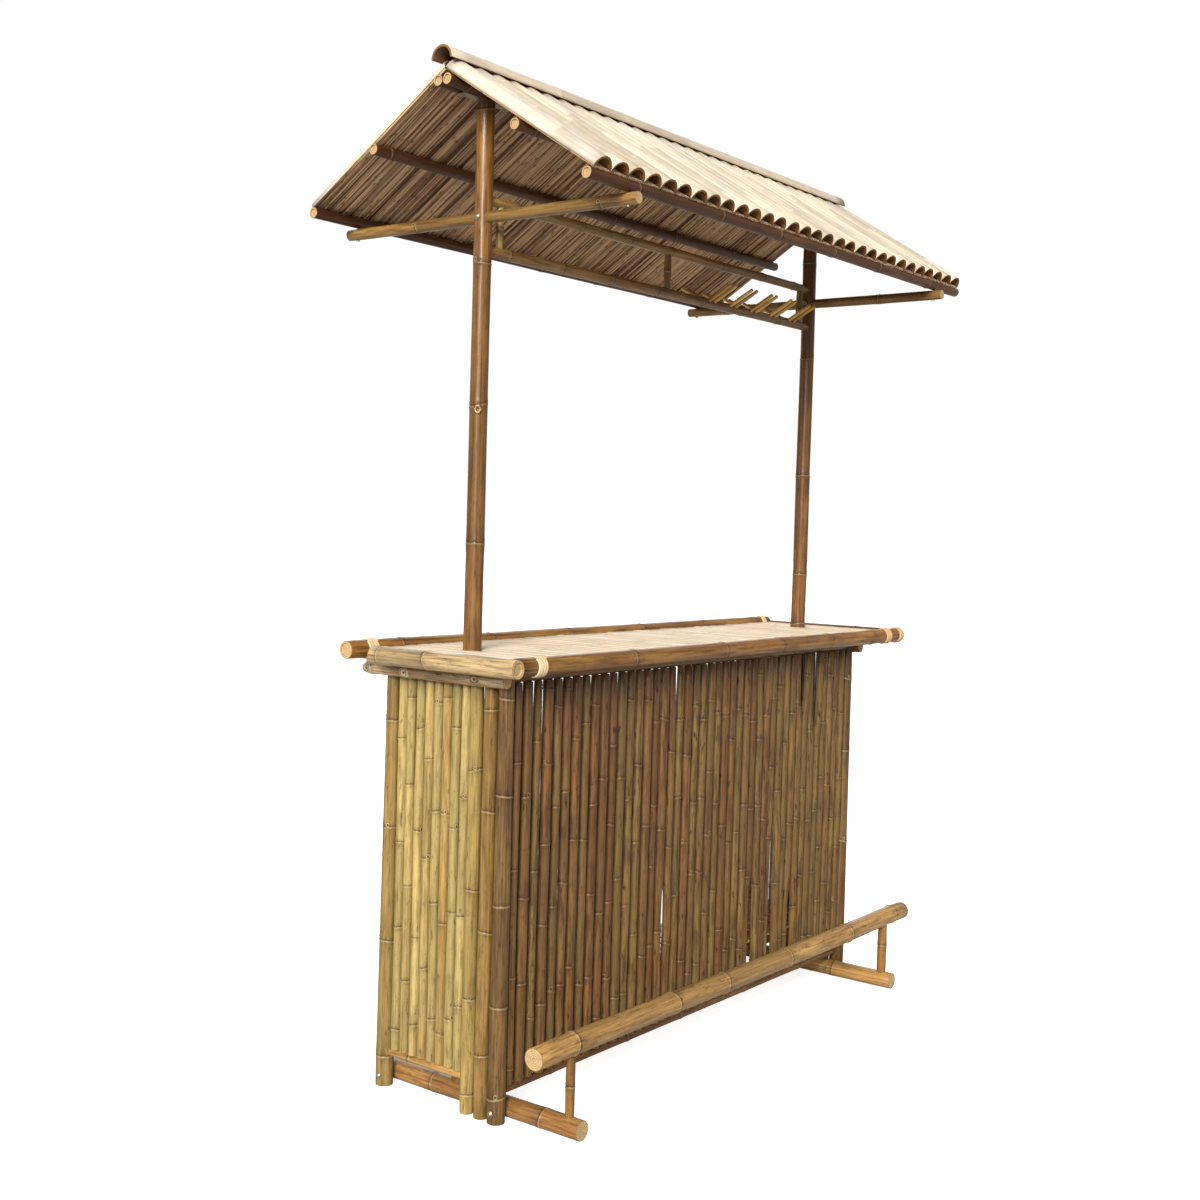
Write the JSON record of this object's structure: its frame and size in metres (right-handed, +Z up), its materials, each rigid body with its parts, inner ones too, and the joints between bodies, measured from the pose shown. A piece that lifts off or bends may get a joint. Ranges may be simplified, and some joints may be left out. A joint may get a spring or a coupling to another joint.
{
  "type": "bamboo bar hut",
  "caption": "Free-standing bamboo bar hut: slatted counter with inner shelves and foot rail, and a gable roof on tall posts with a hanging glass rack.",
  "frame": {"origin": "on the floor, midway along the counter, in the plane of the two roof posts", "axes": "+X along the counter to the guest's right, -Y towards the guest, +Z up"},
  "size_m": [1.896, 0.88, 2.4006],
  "materials": {
    "bamboo_sticks": "satin, golden",
    "brown_bamboo": "satin, brown and olive with dark nodes",
    "dark_split_bamboo": "rough split face, grey-brown",
    "green_bamboo": "satin, yellow-green with brown flecks",
    "honey_bamboo": "satin, with nodes and brown stain",
    "pale_split_bamboo": "planed, pale and fine-grained",
    "rattan": "satin split cane",
    "weathered_split_bamboo": "sun-bleached culm skin",
    "zinc_steel": "dull zinc plate"
  },
  "bodies": {
    "root": {"arm_dowels": "bamboo_sticks", "back_corner_post_left": "honey_bamboo", "back_corner_post_right": "honey_bamboo", "ceiling_slats_back": "dark_split_bamboo", "ceiling_slats_front": "dark_split_bamboo", "counter_battens": "honey_bamboo", "counter_bearer_left": "honey_bamboo", "counter_bearer_right": "honey_bamboo", "counter_rim_back": "honey_bamboo", "counter_rim_front": "honey_bamboo", "counter_rim_left": "honey_bamboo", "counter_rim_right": "honey_bamboo", "counter_slats": "pale_split_bamboo", "cross_arm_back_left": "honey_bamboo", "cross_arm_back_right": "honey_bamboo", "cross_arm_front_left": "honey_bamboo", "cross_arm_front_right": "honey_bamboo", "eave_purlin_back": "honey_bamboo", "eave_purlin_front": "honey_bamboo", "end_frame_post_left": "honey_bamboo", "end_frame_post_right": "honey_bamboo", "end_panel_ledgers_left": "green_bamboo", "end_panel_ledgers_right": "green_bamboo", "end_panel_rails_left": "green_bamboo", "end_panel_rails_right": "green_bamboo", "end_panel_slats_left": "green_bamboo", "end_panel_slats_right": "green_bamboo", "filler_pole_left": "honey_bamboo", "filler_pole_right": "honey_bamboo", "foot_log_left": "honey_bamboo", "foot_log_right": "honey_bamboo", "foot_rail": "honey_bamboo", "foot_rail_pegs": "honey_bamboo", "frame_bolts": "zinc_steel", "frame_nuts": "zinc_steel", "front_bottom_rail": "brown_bamboo", "front_corner_post_left": "brown_bamboo", "front_corner_post_right": "brown_bamboo", "front_panel_poles": "brown_bamboo", "front_top_rail": "brown_bamboo", "glass_rack_pegs": "bamboo_sticks", "glass_rack_rails": "honey_bamboo", "glass_rack_struts": "honey_bamboo", "lower_shelf_slats": "pale_split_bamboo", "middle_purlin_back": "honey_bamboo", "middle_purlin_front": "honey_bamboo", "post_base_dowels": "bamboo_sticks", "ridge_cap": "weathered_split_bamboo", "ridge_plates": "zinc_steel", "ridge_pole_back": "honey_bamboo", "ridge_pole_front": "honey_bamboo", "rim_lashings": "rattan", "roof_pipes_back": "weathered_split_bamboo", "roof_pipes_front": "weathered_split_bamboo", "roof_post_left": "honey_bamboo", "roof_post_right": "honey_bamboo", "roof_screws": "zinc_steel", "shelf_rails": "honey_bamboo", "upper_shelf_slats": "pale_split_bamboo"}
  },
  "joints": []
}
